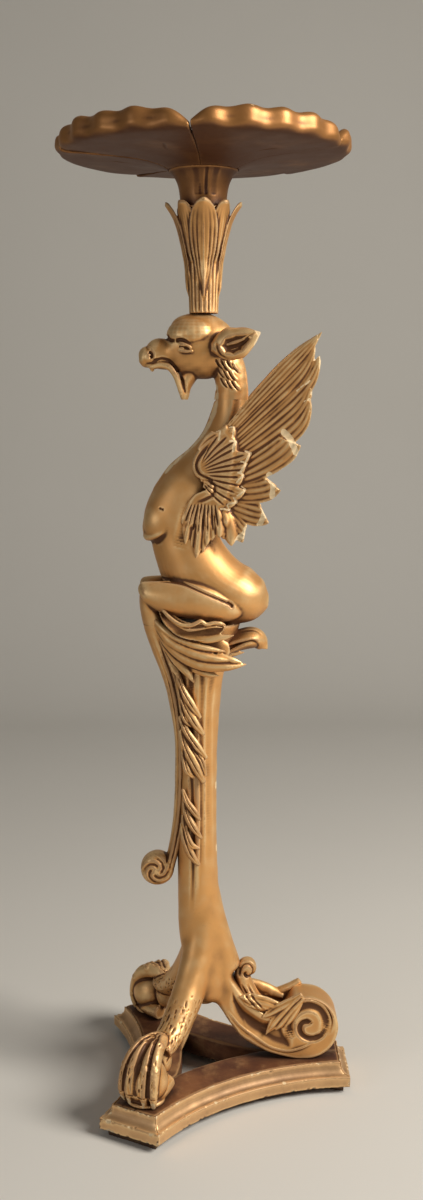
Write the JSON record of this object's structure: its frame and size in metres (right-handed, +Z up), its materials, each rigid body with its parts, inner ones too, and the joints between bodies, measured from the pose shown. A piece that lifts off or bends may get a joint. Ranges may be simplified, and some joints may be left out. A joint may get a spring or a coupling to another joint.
{
  "type": "vase stand",
  "caption": "Carved giltwood vase stand: a seated winged beast on a fluted column carries a petalled dish, over a volute and two claw-and-ball feet on a triangular plinth.",
  "frame": {"origin": "middle of the triangular plinth, on the floor", "axes": "+Z up; the beast faces -X; its left side is -Y; the volute leg points along +X"},
  "size_m": [0.3314, 0.3332, 1.096],
  "materials": {
    "carved_gilt": "aged water gilding over red-brown bole, semi-gloss, with cream gesso showing at worn edges",
    "dish_gilt": "aged gilding, darker, with open joint lines",
    "moulding_gilt": "burnished gilding with chipped gesso at the arrises",
    "worn_board": "worn gilding rubbed through to bole and dark wood",
    "pad_wood": "dark stained wood",
    "dowel_wood": "bare wood",
    "screw_steel": "plain steel"
  },
  "bodies": {
    "root": {"left_moulding": "moulding_gilt", "right_moulding": "moulding_gilt", "front_moulding": "moulding_gilt", "volute_end_moulding": "moulding_gilt", "left_paw_end_moulding": "moulding_gilt", "right_paw_end_moulding": "moulding_gilt", "left_board": "worn_board", "right_board": "worn_board", "front_board": "worn_board", "volute_pad": "pad_wood", "left_paw_pad": "pad_wood", "right_paw_pad": "pad_wood", "volute_leg": "carved_gilt", "volute_leaf": "carved_gilt", "left_paw_leg": "carved_gilt", "right_paw_leg": "carved_gilt", "column": "carved_gilt", "front_scroll": "carved_gilt", "left_leaf_spray": "carved_gilt", "right_leaf_spray": "carved_gilt", "torso": "carved_gilt", "left_thigh": "carved_gilt", "right_thigh": "carved_gilt", "neck": "carved_gilt", "head": "carved_gilt", "lower_jaw": "carved_gilt", "left_ear": "carved_gilt", "right_ear": "carved_gilt", "left_wing": "carved_gilt", "right_wing": "carved_gilt", "left_skirt_leaves": "carved_gilt", "right_skirt_leaves": "carved_gilt", "tail_leaf": "carved_gilt", "stem": "carved_gilt", "calyx": "carved_gilt", "dish_neck": "dish_gilt", "petal_1": "dish_gilt", "petal_2": "dish_gilt", "petal_3": "dish_gilt", "petal_4": "dish_gilt", "petal_5": "dish_gilt", "mitre_dowels": "dowel_wood", "leg_dowels": "dowel_wood", "seat_dowel": "dowel_wood", "thigh_dowel": "dowel_wood", "neck_dowel": "dowel_wood", "head_dowel": "dowel_wood", "stem_dowel": "dowel_wood", "dish_dowel": "dowel_wood", "wing_dowel": "dowel_wood", "scroll_pins": "dowel_wood", "leg_screws": "screw_steel"}
  },
  "joints": []
}
